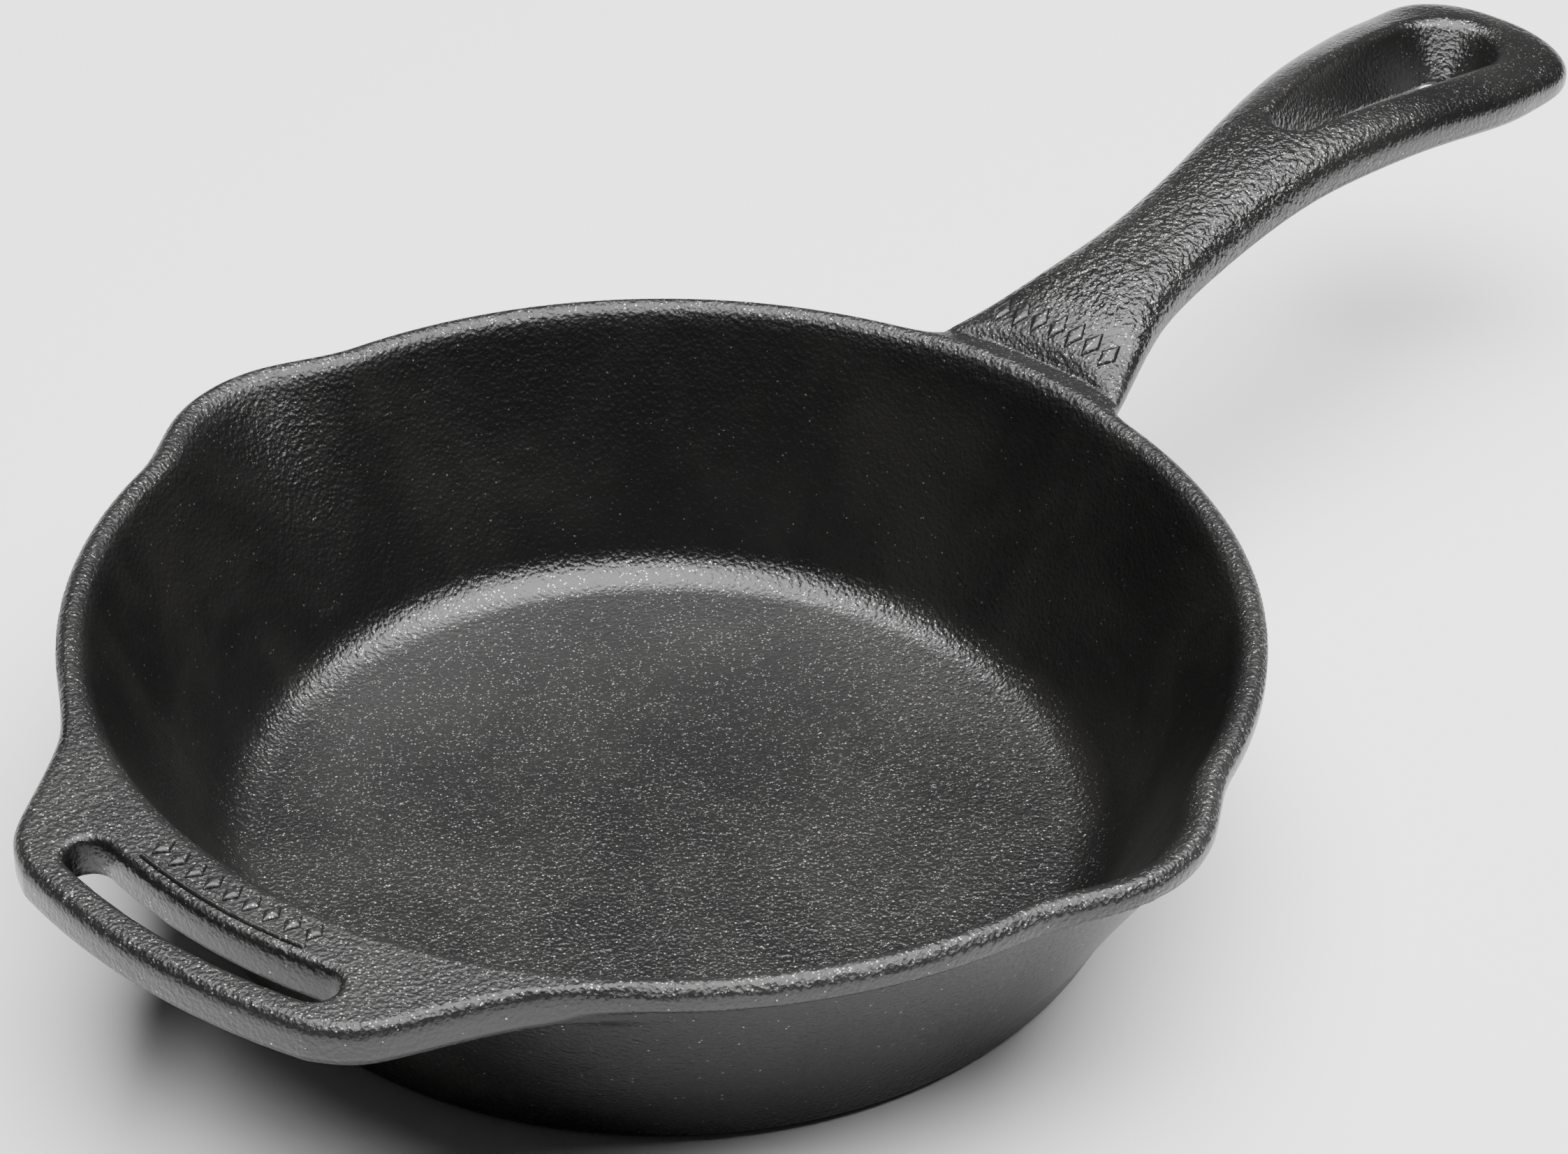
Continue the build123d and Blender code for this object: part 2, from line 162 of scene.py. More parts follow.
def handle_profile():
    """Handle stations resampled finely, with the tip closing as a rounded end."""
    xs = np.linspace(90.0, HANDLE_END, 1500)
    at = np.clip(xs, HANDLE[0, 0], HANDLE[-1, 0])
    width, mid_z, above, below = [natural_spline(HANDLE[:, 0], HANDLE[:, k], at)
                                  for k in range(1, 5)]

    def along_tip(start):
        return np.clip((xs - start) / (HANDLE_END - start), 0, 1)

    closing = np.sqrt(np.clip(1 - along_tip(TIP_PLAN_X) ** TIP_PLAN_POWER, 0, 1))
    width = np.where(xs > TIP_PLAN_X, np.interp(TIP_PLAN_X, xs, width) * closing, width)
    closing = np.sqrt(np.clip(1 - along_tip(TIP_DEPTH_X) ** 2, 0, 1))
    share = TIP_DEPTH_LEFT + (1 - TIP_DEPTH_LEFT) * closing
    above, below = [np.where(xs > TIP_DEPTH_X, np.interp(TIP_DEPTH_X, xs, v) * share, v)
                    for v in (above, below)]
    return xs, width, mid_z, above, below


def helper_outline():
    """Both splined sides, joined by an arc centred on the x axis."""
    run = np.r_[0, np.cumsum(np.hypot(*np.diff(HELPER_SIDE, axis=0).T))]
    at = np.linspace(0, run[-1], 90)
    side_x, side_y = [natural_spline(run, HELPER_SIDE[:, k], at) for k in (0, 1)]
    corner, nose = HELPER_SIDE[-1], np.array([HELPER_R, 0.0])
    centre = (corner @ corner - nose @ nose) / (2 * (corner[0] - nose[0]))
    radius = HELPER_R - centre
    end = math.atan2(corner[1], corner[0] - centre)
    angle = np.linspace(end, -end, 120)[1:-1]
    arc = np.c_[centre + radius * np.cos(angle), radius * np.sin(angle)]
    outline = np.vstack([np.c_[side_x, side_y], arc, np.c_[side_x, -side_y][::-1]])
    outline[:, 0] *= -1
    return outline


PROFILE_X, *PROFILE = handle_profile()
HELPER_X, HELPER_Y = np.arange(-136.0, -66.0, 0.5), np.arange(-78.0, 78.1, 0.5)
HELPER_TABLE = polygon_distance(helper_outline(), HELPER_X, HELPER_Y)


# ------------------------------------------------------------------ combining shapes
def smooth_min(a, b, width):
    h = np.clip(0.5 + 0.5 * (b - a) / width, 0, 1)
    return b * (1 - h) + a * h - width * h * (1 - h)


def smooth_max(a, b, width):
    return -smooth_min(-a, -b, width)


def round_max(a, b, radius):
    """Intersection with a round edge."""
    outer = np.hypot(np.maximum(a + radius, 0), np.maximum(b + radius, 0))
    return np.minimum(np.maximum(a, b), -radius) + outer


def fillet_max(a, b, radius, cosine):
    """Intersection of two flat sides with a true fillet; cosine is between their normals."""
    p, q = a + radius, b + radius
    square = np.maximum(p * p + q * q - 2 * p * q * cosine, 0)
    arc = np.sqrt(square / (1 - cosine * cosine)) - radius
    on_arc = (p > cosine * q) & (q > cosine * p) & (np.maximum(p, q) > 0)
    return np.where(on_arc, arc, np.maximum(a, b))


# ------------------------------------------------------------------ the casting's parts
def spout_field(x, y, z, top_r, low_r, wall_r, top_z):
    """Spout cone, from a circle within wall_r at SPOUT_LOW_Z to one at top_z."""
    rise = top_z - SPOUT_LOW_Z
    t = (z - SPOUT_LOW_Z) / rise
    low_y = wall_r - low_r - SPOUT_WALL_INSET
    centre_y = low_y + (SPOUT_Y - low_y) * t
    radius = low_r + (top_r - low_r) * t
    slope = ((SPOUT_Y - low_y) + (top_r - low_r)) / rise
    cone = (np.hypot(x, np.abs(y) - centre_y) - radius) / math.hypot(1, slope)
    return np.maximum(cone, SPOUT_END_Z - z)


def body_field(x, y, z, rho):
    """Solid pan without its cavity."""
    wall = (rho - OUTER_FOOT_R - LEAN * z) * COS_LEAN
    bulge = spout_field(x, y, z, top_r=SPOUT_R - SPOUT_BODY_INSET, low_r=SPOUT_LOW_R,
                        wall_r=OUTER_FOOT_R + LEAN * SPOUT_LOW_Z, top_z=HEIGHT - RIM_TOP_ROUND)
    body = np.maximum(smooth_min(wall, bulge, BULGE_BLEND), z - BODY_TOP_Z)
    plan = smooth_min(rho - RIM_R, np.hypot(x, np.abs(y) - SPOUT_Y) - SPOUT_R, PLAN_BLEND)
    band = round_max(plan, z - HEIGHT, RIM_TOP_ROUND)
    band = smooth_max(band, BAND_LOW_Z - z, UNDERSIDE_BLEND)
    solid = np.maximum(smooth_min(body, band, BAND_BLEND), plan)
    return fillet_max(solid, -z, BASE_ROUND, SIN_LEAN)


def cavity_field(x, y, z, rho):
    wall = (rho - INNER_FOOT_R - LEAN * (z - FLOOR_T)) * COS_LEAN
    spout = spout_field(x, y, z, top_r=SPOUT_R - LIP_T, low_r=SPOUT_LOW_R - SPOUT_LOW_T,
                        wall_r=INNER_FOOT_R + LEAN * (SPOUT_LOW_Z - FLOOR_T), top_z=HEIGHT)
    cavity = smooth_min(wall, spout, CAVITY_BLEND)
    return fillet_max(cavity, FLOOR_T - z, INNER_FILLET, SIN_LEAN)


def handle_field(x, y, z):
    """Long handle: superelliptic sections, distance estimated through the gradient."""
    width, mid_z, above, below = [np.interp(x, PROFILE_X, column) for column in PROFILE]
    width = np.maximum(width, 0.6)
    dz = z - mid_z
    top = dz >= 0
    height = np.where(top, above, below)
    u, w = np.abs(y) / width, np.abs(dz) / height
    power = np.where(top, POWER_ABOVE, POWER_BELOW)
    norm = np.maximum(u ** power + w ** power, 1e-9) ** (1 / power)
    slope_u = (np.maximum(u, 1e-6) / norm) ** (power - 1) / width
    slope_w = (np.maximum(w, 1e-6) / norm) ** (power - 1) / height
    f = (norm - 1) / np.maximum(np.hypot(slope_u, slope_w), 1e-3)
    f = np.maximum(f, HANDLE_START - x)
    return np.where(x > HANDLE_END, np.maximum(f, x - HANDLE_END), f)


def helper_field(x, y, z):
    plan = table_at(HELPER_TABLE, HELPER_X, HELPER_Y, x, y)
    slab = np.abs(z - (HEIGHT - HELPER_T / 2)) - HELPER_T / 2
    return round_max(plan, slab, HELPER_ROUND)


def eye_field(x, y, z):
    """Drafted teardrop: at each height the hull of two circles, wider towards the top."""
    t = np.clip((z - EYE_LOW_Z) / (EYE_HIGH_Z - EYE_LOW_Z), -0.04, 1.1)
    x1, r1, x2, r2 = [low + (high - low) * t for low, high in zip(EYE_LOW, EYE_HIGH)]
    length = x2 - x1
    sine = (r1 - r2) / length
    cosine = np.sqrt(1 - sine * sine)
    across, along = np.abs(y), x - x1
    k = -sine * across + cosine * along
    inner, outer = k < 0, k > cosine * length
    distance = np.where(inner, np.hypot(across, along) - r1,
                        np.where(outer, np.hypot(across, along - length) - r2,
                                 across * cosine + along * sine - r1))
    slope = np.where(inner, EYE_SLOPES[0], np.where(outer, EYE_SLOPES[1], EYE_SLOPES[2]))
    return distance / np.sqrt(1 + slope * slope)


def slot_field(x, y, rho):
    """Arc slot with round ends, through the helper handle."""
    mid = (SLOT_IN_R + SLOT_OUT_R) / 2
    end_x, end_y = mid * math.cos(SLOT_HALF_ANGLE), mid * math.sin(SLOT_HALF_ANGLE)
    distance = np.where(np.abs(np.arctan2(y, -x)) < SLOT_HALF_ANGLE, np.abs(rho - mid),
                        np.hypot(-x - end_x, np.abs(y) - end_y))
    return distance - (SLOT_OUT_R - SLOT_IN_R) / 2


def field(points):
    """The whole casting: negative inside."""
    x, y, z = points[..., 0], points[..., 1], points[..., 2]
    rho = np.hypot(x, y)
    # the neck stands a small step above the rim, behind a narrow level band
    handle = handle_field(x, y, z)
    step = (z - STEP_Z - STEP_RISE * np.maximum(rho - STEP_R, 0)) * STEP_SCALE
    handle = np.where((x > 60) & (rho < 116), smooth_max(handle, step, STEP_BLEND), handle)
    f = smooth_min(body_field(x, y, z, rho), handle, HANDLE_BLEND)
    # the top of the rim stays flat where the helper handle meets it
    joined = np.maximum(smooth_min(f, helper_field(x, y, z), HELPER_BLEND), z - HEIGHT)
    f = np.where(x < 0, np.minimum(f, joined), f)
    # openings
    f = round_max(f, -cavity_field(x, y, z, rho), MOUTH_ROUND)
    near_slot = (x < -100) & (np.abs(y) < 45)
    f = np.where(near_slot, round_max(f, -slot_field(x, y, rho), OPENING_ROUND), f)
    return np.where(x > 170, round_max(f, -eye_field(x, y, z), OPENING_ROUND), f)


def field_of(points, chunk=400000):
    """The field in chunks, to bound memory."""
    out = np.empty(len(points))
    for i in range(0, len(points), chunk):
        out[i:i + chunk] = field(points[i:i + chunk])
    return out


def gradient(points, reach=0.04):
    slopes = np.empty_like(points)
    for k in range(3):
        shift = np.zeros(3)
        shift[k] = reach
        slopes[:, k] = (field_of(points + shift) - field_of(points - shift)) / (2 * reach)
    return slopes


def unit_normals(points):
    g = gradient(points)
    return g / np.maximum(np.linalg.norm(g, axis=1, keepdims=True), 1e-9)


def project(points, steps, longest=0.8):
    """Newton steps onto the zero surface, each at most longest."""
    for _ in range(steps):
        g = gradient(points)
        f = field_of(points)
        step = f[:, None] * g / np.maximum((g ** 2).sum(1), 0.05)[:, None]
        length = np.linalg.norm(step, axis=1, keepdims=True)
        points = points - step * np.minimum(1, longest / np.maximum(length, 1e-9))
    return points


# ------------------------------------------------------------------ surface nets
PITCH = 1.0
LATTICE_LOW, LATTICE_SIZE = np.array([-129.0, -114.0, -3.0]), np.array([403.0, 228.0, 75.0])
LATTICE_SHIFT = 0.37     # share of a pitch that keeps lattice planes off flat faces
BLOCK = 6                # lattice cells along a coarse block
CORNERS = list(product((0, 1), repeat=3))


def window(corner, shape):
    """Slices of the given shape, starting at a cell corner."""
    return tuple(slice(start, start + size) for start, size in zip(corner, shape))


def sample_lattice(low, pitch):
    """Field on the lattice; blocks far from the surface only get a sign."""
    blocks = np.ceil(LATTICE_SIZE / (pitch * BLOCK)).astype(int)
    centres = [low[k] + (np.arange(blocks[k]) + 0.5) * pitch * BLOCK for k in range(3)]
    points = np.stack(np.meshgrid(*centres, indexing="ij"), -1).reshape(-1, 3)
    fine = field_of(points).reshape(blocks)
    for k in range(3):
        fine = np.repeat(fine, BLOCK, k)
    values = np.ones(blocks * BLOCK + 1, np.float32)
    values[:-1, :-1, :-1] = np.where(fine < 0, -1, 1)
    near = np.abs(fine) < pitch * BLOCK * 1.5
    wanted = np.zeros(values.shape, bool)
    for corner in CORNERS:
        wanted[window(corner, near.shape)] |= near
    values[wanted] = field_of(low + np.argwhere(wanted) * pitch)
    return values


def net_points(values, mixed_cells):
    """Mean of the edge crossings in each cell, in lattice steps."""
    total, hits = np.zeros((len(mixed_cells), 3)), np.zeros(len(mixed_cells))
    for start in CORNERS:
        for k in range(3):
            if start[k]:
                continue
            end = list(start)
            end[k] = 1
            at_start, at_end = [values[tuple((mixed_cells + corner).T)].astype(float)
                                for corner in (start, end)]
            hit = (at_start < 0) != (at_end < 0)
            point = np.tile(np.array(start, float), (len(mixed_cells), 1))
            point[:, k] = np.where(hit, at_start / np.where(hit, at_start - at_end, 1), 0)
            total[hit] += point[hit]
            hits[hit] += 1
    return mixed_cells + total / hits[:, None]


def net_quads(solid, index):
    """One quad round each lattice edge that crosses the surface."""
    quads = []
    for k in range(3):
        u, w = (k + 1) % 3, (k + 2) % 3
        first, second = [slice(None)] * 3, [slice(None)] * 3
        first[k], second[k] = slice(0, -1), slice(1, None)
        first_solid = solid[tuple(first)]
        edge = np.argwhere(first_solid != solid[tuple(second)])
        inner = (edge[:, u] > 0) & (edge[:, w] > 0)
        inner &= (edge[:, u] < index.shape[u]) & (edge[:, w] < index.shape[w])
        edge = edge[inner]
        ring = []
        for du, dw in ((-1, -1), (0, -1), (0, 0), (-1, 0)):
            cell = edge.copy()
            cell[:, u] += du
            cell[:, w] += dw
            ring.append(index[tuple(cell.T)])
        ring = np.stack(ring, 1)
        flip = ~first_solid[tuple(edge.T)]
        ring[flip] = ring[flip][:, ::-1]
        quads.append(ring)
    return np.vstack(quads)


def even_out(verts, quads, rounds=3):
    """Evens out the lattice pattern by sliding vertices along the surface."""
    edges = np.vstack([quads[:, [k, (k + 1) % 4]] for k in range(4)])
    edges = np.vstack([edges, edges[:, ::-1]])
    count = len(verts)
    degree = np.bincount(edges[:, 0], minlength=count).astype(float)
    for _ in range(rounds):
        sums = [np.bincount(edges[:, 0], weights=verts[edges[:, 1], k], minlength=count)
                for k in range(3)]
        normal = unit_normals(verts)
        move = np.stack(sums, 1) / degree[:, None] - verts
        move -= normal * (move * normal).sum(1, keepdims=True)
        verts = project(verts + 0.5 * move, 1)
    return verts


def surface(pitch):
    """Surface nets at a lattice pitch, moved exactly onto the zero surface."""
    low = LATTICE_LOW + LATTICE_SHIFT * pitch
    values = sample_lattice(low, pitch)
    solid = values < 0
    shape = [size - 1 for size in values.shape]
    solid_corners = np.zeros(shape, np.int8)
    for corner in CORNERS:
        solid_corners += solid[window(corner, shape)]
    mixed = (solid_corners > 0) & (solid_corners < 8)
    mixed_cells = np.argwhere(mixed)
    index = np.full(shape, -1, np.int64)
    index[mixed] = np.arange(len(mixed_cells))
    quads = net_quads(solid, index)
    verts = project(low + net_points(values, mixed_cells) * pitch, 3)
    verts = project(even_out(verts, quads), 2)
    # split each quad on its shorter diagonal
    diagonal_02 = np.linalg.norm(verts[quads[:, 0]] - verts[quads[:, 2]], axis=1)
    diagonal_13 = np.linalg.norm(verts[quads[:, 1]] - verts[quads[:, 3]], axis=1)
    short_02 = diagonal_02 <= diagonal_13
    a, b = quads[short_02], quads[~short_02]
    return verts, np.vstack([a[:, [0, 1, 2]], a[:, [0, 2, 3]], b[:, [0, 1, 3]], b[:, [1, 2, 3]]])


# ------------------------------------------------------------------ splitting into pieces
def cut(verts, tris, values, where):
    """Splits the triangles that touch where and cross values = 0, so that none straddles it."""
    side = values > 0
    tri_side = side[tris]
    crossing = (tri_side.any(1) & ~tri_side.all(1)) & where[tris].any(1)
    keep, work = tris[~crossing], tris[crossing]
    if not len(work):
        return verts, tris
    tri_side = side[work]
    lone = np.where(tri_side.sum(1) == 1, tri_side.argmax(1), (~tri_side).argmax(1))
    row = np.arange(len(work))
    a, b, c = [work[row, (lone + k) % 3] for k in range(3)]
    edges = np.sort(np.vstack([np.c_[a, b], np.c_[a, c]]), axis=1)
    edges, inverse = np.unique(edges, axis=0, return_inverse=True)
    inverse = inverse.ravel()
    start, end = values[edges[:, 0]], values[edges[:, 1]]
    t = np.clip(start / (start - end), 0.02, 0.98)[:, None]
    new = verts[edges[:, 0]] * (1 - t) + verts[edges[:, 1]] * t
    ab, ac = len(verts) + inverse[:len(work)], len(verts) + inverse[len(work):]
    return (np.vstack([verts, new]),
            np.vstack([keep, np.c_[a, ab, ac], np.c_[ab, b, c], np.c_[ab, c, ac]]))


FLOOR_SPLIT_Z, RIM_SPLIT_Z, ROOT_SPLIT_R = 6.0, 46.8, RIM_R + 0.6
SPOUT_SPLIT_X, SPOUT_SPLIT_Z = 25.0, 25.0
GRIP_START_X, GRIP_END_X = 130.0, 182.0
HANDLE_ZONE_Y, SPOUT_ZONE_Y = 75, 60       # handles lie within the first, spouts beyond the second

# each cut: the value that is zero on it, and where it applies
CUTS = [
    (lambda x, y, z, rho: z - FLOOR_SPLIT_Z,
     lambda x, y, z, rho: z < 12),
    (lambda x, y, z, rho: rho - ROOT_SPLIT_R,
     lambda x, y, z, rho: (np.abs(y) < HANDLE_ZONE_Y) & (z > 30)),
    (lambda x, y, z, rho: z - RIM_SPLIT_Z,
     lambda x, y, z, rho: (rho < ROOT_SPLIT_R + 2) | (np.abs(y) > HANDLE_ZONE_Y)),
    (lambda x, y, z, rho: x + SPOUT_SPLIT_X,
     lambda x, y, z, rho: (np.abs(y) > SPOUT_ZONE_Y) & (z > 22)),
    (lambda x, y, z, rho: x - SPOUT_SPLIT_X,
     lambda x, y, z, rho: (np.abs(y) > SPOUT_ZONE_Y) & (z > 22)),
    (lambda x, y, z, rho: z - SPOUT_SPLIT_Z,
     lambda x, y, z, rho: (np.abs(y) > SPOUT_ZONE_Y) & (np.abs(x) < 28)),
    (lambda x, y, z, rho: x,
     lambda x, y, z, rho: (z > 44) & (np.abs(y) > SPOUT_ZONE_Y)),
    (lambda x, y, z, rho: x - GRIP_START_X, lambda x, y, z, rho: x > 100),
    (lambda x, y, z, rho: x - GRIP_END_X, lambda x, y, z, rho: x > 150),
]
PIECES = ["pan_floor", "side_wall", "rim_band_handle_side", "rim_band_helper_side",
          "pour_spout_left", "pour_spout_right", "handle_root", "handle_grip", "hanging_loop",
          "helper_handle"]


def label_triangles(verts, tris):
    """Index into PIECES for each triangle; later claims win."""
    x, y, z = verts[tris].mean(1).T
    handles = (np.hypot(x, y) > ROOT_SPLIT_R) & (np.abs(y) < HANDLE_ZONE_Y) & (z > 30)
    spouts = (np.abs(x) < SPOUT_SPLIT_X) & (np.abs(y) > SPOUT_ZONE_Y) & (z > SPOUT_SPLIT_Z)
    label = np.full(len(tris), PIECES.index("side_wall"))
    for name, claim in (
        ("rim_band_handle_side", (z > RIM_SPLIT_Z) & (x > 0)),
        ("rim_band_helper_side", (z > RIM_SPLIT_Z) & (x <= 0)),
        ("pour_spout_left", spouts & (y > 0)),
        ("pour_spout_right", spouts & (y < 0)),
        ("pan_floor", z < FLOOR_SPLIT_Z),
        ("handle_root", handles & (x > 0) & (x < GRIP_START_X)),
        ("handle_grip", handles & (x >= GRIP_START_X) & (x < GRIP_END_X)),
        ("hanging_loop", handles & (x >= GRIP_END_X)),
        ("helper_handle", handles & (x < 0)),
    ):
        label[claim] = PIECES.index(name)
    return label


def add_skin(name, verts_mm, faces, material, normals=None):
    """Smooth mesh object that replaces the CAD piece of that name."""
    mesh = bpy.data.meshes.new(name + "_skin")
    co = (np.asarray(verts_mm, float) / 1000).astype(np.float32)
    faces = np.asarray(faces, np.int32)
    starts = np.arange(0, faces.size, faces.shape[1], dtype=np.int32)
    mesh.vertices.add(len(co))
    mesh.vertices.foreach_set("co", co.ravel())
    mesh.loops.add(faces.size)
    mesh.loops.foreach_set("vertex_index", faces.ravel())
    mesh.polygons.add(len(faces))
    mesh.polygons.foreach_set("loop_start", starts)
    mesh.polygons.foreach_set("use_smooth", np.ones(len(faces), bool))
    mesh.update(calc_edges=True)
    mesh.validate()
    if normals is not None:
        mesh.normals_split_custom_set_from_vertices([tuple(n) for n in normals])
    ob = bpy.data.objects.new(name + "_skin", mesh)
    bpy.context.scene.collection.objects.link(ob)
    ob.data.materials.append(material)
    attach(ob, "root")
    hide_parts(name)


def add_casting(material):
    verts, tris = surface(PITCH)
    # stay inside the CAD's bounds
    verts = np.clip(verts, np.array(cad_low) * 1000 + [0.02, 0.02, 0],
                    np.array(cad_high) * 1000 - 0.02)
    for value, where in CUTS:
        x, y, z = verts.T
        rho = np.hypot(x, y)
        verts, tris = cut(verts, tris, value(x, y, z, rho), where(x, y, z, rho))
    label = label_triangles(verts, tris)
    normals = unit_normals(verts)
    for i, name in enumerate(PIECES):
        used, inverse = np.unique(tris[label == i], return_inverse=True)
        add_skin(name, verts[used], inverse.reshape(-1, 3), material, normals[used])


# ------------------------------------------------------------------ materials, m
class Graph:
    """A material's node tree, with short calls for the nodes used here."""

    def __init__(self, name):
        self.material = bpy.data.materials.new(name)
        self.material.use_nodes = True
        self.tree = self.material.node_tree

    def feed(self, socket, value):
        if isinstance(value, bpy.types.NodeSocket):
            self.tree.links.new(value, socket)
        else:
            socket.default_value = value

    def node(self, kind, inputs=(), **settings):
        made = self.tree.nodes.new(kind)
        for key, value in settings.items():
            setattr(made, key, value)
        for key, value in dict(inputs).items():
            self.feed(made.inputs[key], value)
        return made

    def surface(self, name, value):
        self.feed(self.tree.nodes["Principled BSDF"].inputs[name], value)

    def noise(self, place, scale, detail=2.0, roughness=0.5, distortion=0.0):
        return self.node("ShaderNodeTexNoise", {
            "Scale": scale, "Detail": detail, "Roughness": roughness,
            "Distortion": distortion, "Vector": place}).outputs["Fac"]

    def cells(self, place, scale):
        return self.node("ShaderNodeTexVoronoi", {"Scale": scale, "Vector": place}).outputs

    def math(self, operation, a, b):
        return self.node("ShaderNodeMath", {0: a, 1: b}, operation=operation).outputs[0]

    def add(self, a, b):
        return self.math("ADD", a, b)

    def times(self, a, b):
        return self.math("MULTIPLY", a, b)

    def ramp(self, value, start, end, low=0.0, high=1.0):
        """Smooth step from low at start to high at end."""
        return self.node("ShaderNodeMapRange", {0: value, 1: start, 2: end, 3: low, 4: high},
                         interpolation_type="SMOOTHSTEP").outputs[0]

    def mix(self, factor, a, b):
        return self.node("ShaderNodeMix", {"A": a, "B": b, "Factor": factor},
                         data_type="RGBA").outputs["Result"]

    def bump(self, height, distance, below=None):
        inputs = {"Strength": 1.0, "Distance": distance, "Height": height}
        if below is not None:
            inputs["Normal"] = below
        return self.node("ShaderNodeBump", inputs).outputs[0]


def iron_relief(g, place, x, fine, tops, hammered, relief):
    """Pebbled sand-cast skin under fine pits, on a broad slow undulation."""
    pebble = g.noise(place, scale=900.0, distortion=0.1)
    broad = g.noise(place, scale=60.0, detail=3.0)
    pit = g.cells(place, scale=1250.0)["Distance"]
    # the neck of the long handle is coarser and hammered
    neck = g.times(g.ramp(x, start=0.1155, end=0.1225), g.ramp(x, start=0.215, end=0.165))
    coarse = g.noise(place, scale=760.0, distortion=0.2)
    # shares of pebbles, fine grain and pits; level tops are half as coarse again
    grain = g.add(g.times(pebble, 0.62), g.times(fine, 0.16))
    grain = g.add(grain, g.times(pit, 0.34))
    grain = g.times(grain, g.add(g.times(tops, 0.5), 1.0))
    level = g.bump(broad, distance=0.0002)
    level = g.bump(g.times(coarse, g.times(neck, hammered)), distance=0.00062, below=level)
    return g.bump(g.times(grain, relief), distance=0.00024, below=level)


def iron_glints(g, place, blotch, face_z):
    """Mask of painted glints: bright metallic specks that stand in for the grain's sparkle, mostly
    on level faces, which face the overhead light.
    """
    # level faces, turned to the overhead light, get the full share of painted glint specks, others
    # 0.06 of it
    level_up = g.add(g.ramp(face_z, start=0.50, end=0.85), 0.06)
    glint_cell = g.cells(place, scale=2300.0)
    pick = g.node("ShaderNodeSeparateColor", {0: glint_cell["Color"]}).outputs
    share = g.times(g.ramp(blotch, start=0.3, end=0.7, low=0.17, high=0.28), level_up)
    chosen = g.math("GREATER_THAN", pick[0], g.math("SUBTRACT", 1.0, share))
    # speck radius from 0.17 to 0.42 of a cell, with a soft edge
    radius = g.add(0.17, g.times(pick[1], 0.25))
    past_edge = g.math("SUBTRACT", glint_cell["Distance"], radius)
    return g.times(g.ramp(past_edge, start=0.04, end=-0.04), chosen)


def cast_iron(name, hammered, relief):
    """Oil-baked iron; hammered scales the neck's coarse relief, relief the fine grain."""
    g = Graph(name)
    place = g.node("ShaderNodeTexCoord").outputs["Object"]
    axes = g.node("ShaderNodeSeparateXYZ", {0: place}).outputs
    normal = g.node("ShaderNodeNewGeometry").outputs["Normal"]
    face_z = g.node("ShaderNodeSeparateXYZ", {0: normal}).outputs[2]
    fine = g.noise(place, scale=2600.0, roughness=0.55)
    blotch = g.noise(place, scale=24.0, detail=4.0, roughness=0.6, distortion=0.4)
    # level tops of the rim and the helper handle
    tops = g.times(g.ramp(axes[2], start=0.0472, end=0.0500),
                   g.ramp(axes[0], start=0.125, end=0.105))
    g.surface("Normal", iron_relief(g, place, axes[0], fine, tops, hammered, relief))
    glint = iron_glints(g, place, blotch, face_z)
    # oil-baked black with warmer thin spots
    baked = g.mix(g.ramp(blotch, start=0.35, end=0.7),
                  a=(0.0046, 0.0045, 0.0044, 1), b=(0.0105, 0.0100, 0.0096, 1))
    # painted glints: the specks turn light grey and metallic, standing in for the grain's sparkle
    g.surface("Base Color", g.mix(glint, a=baked, b=(0.40, 0.395, 0.39, 1)))
    g.surface("Metallic", g.times(glint, 0.95))
    # roughness: blotches, then what fine grain and level tops add
    rough = g.add(g.ramp(blotch, start=0.3, end=0.7, low=0.25, high=0.275), g.times(fine, 0.06))
    g.surface("Roughness", g.add(rough, g.times(tops, 0.13)))
    g.surface("IOR", 1.5)
    # painted shade: faces that look down reflect less, darkening the undersides
    g.surface("Specular IOR Level", g.ramp(face_z, start=-0.34, end=-0.05, low=0.16, high=0.5))
    return g.material


def matte(name, grey):
    g = Graph(name)
    g.surface("Base Color", (grey, grey, grey, 1))
    g.surface("Roughness", 0.9)
    return g.material


# ------------------------------------------------------------------ raised marks, mm
MARK_H, MARK_EDGE, MARK_PITCH = 0.7, 1.1, 0.18
MARK_SINK = 0.05                     # depth of the pad's rim under the surface
# how far the rounding starts, the pad and its grid reach beyond the outline
MARK_SOFT, MARK_REACH, MARK_MARGIN = 0.12, 0.22, 0.35


def top_z(x, y):
    """Height of the casting's top surface above (x, y), marching down from above it."""
    z = np.full(len(x), 66.0)
    for _ in range(60):
        z = z - np.clip(field_of(np.c_[x, y, z]), -1.0, 1.0) * 0.9
    return z


def pads(outlines):
    """Each outline becomes a soft-edged pad that follows the surface under it."""
    verts, faces, base = [], [], 0
    for outline in outlines:
        low, high = outline.min(0) - MARK_MARGIN, outline.max(0) + MARK_MARGIN
        grid_x, grid_y = [np.arange(low[k], high[k] + MARK_PITCH, MARK_PITCH) for k in (0, 1)]
        distance = polygon_distance(outline, grid_x, grid_y)
        X, Y = np.meshgrid(grid_x, grid_y, indexing="ij")
        t = np.clip((MARK_SOFT - distance) / MARK_EDGE, 0, 1)
        height = MARK_H * np.sqrt(np.clip(1 - (1 - t) ** 2, 0, 1))
        keep = distance < MARK_REACH
        index = np.full(X.shape, -1)
        index[keep] = np.arange(keep.sum())
        z = top_z(X[keep], Y[keep]) + height[keep] - MARK_SINK
        verts.append(np.c_[X[keep], Y[keep], z])
        quads = [index[:-1, :-1], index[1:, :-1], index[1:, 1:], index[:-1, 1:]]
        quads = np.stack(quads, -1).reshape(-1, 4)
        faces.append(quads[(quads >= 0).all(1)] + base)
        base += keep.sum()
    return np.vstack(verts), np.vstack(faces)


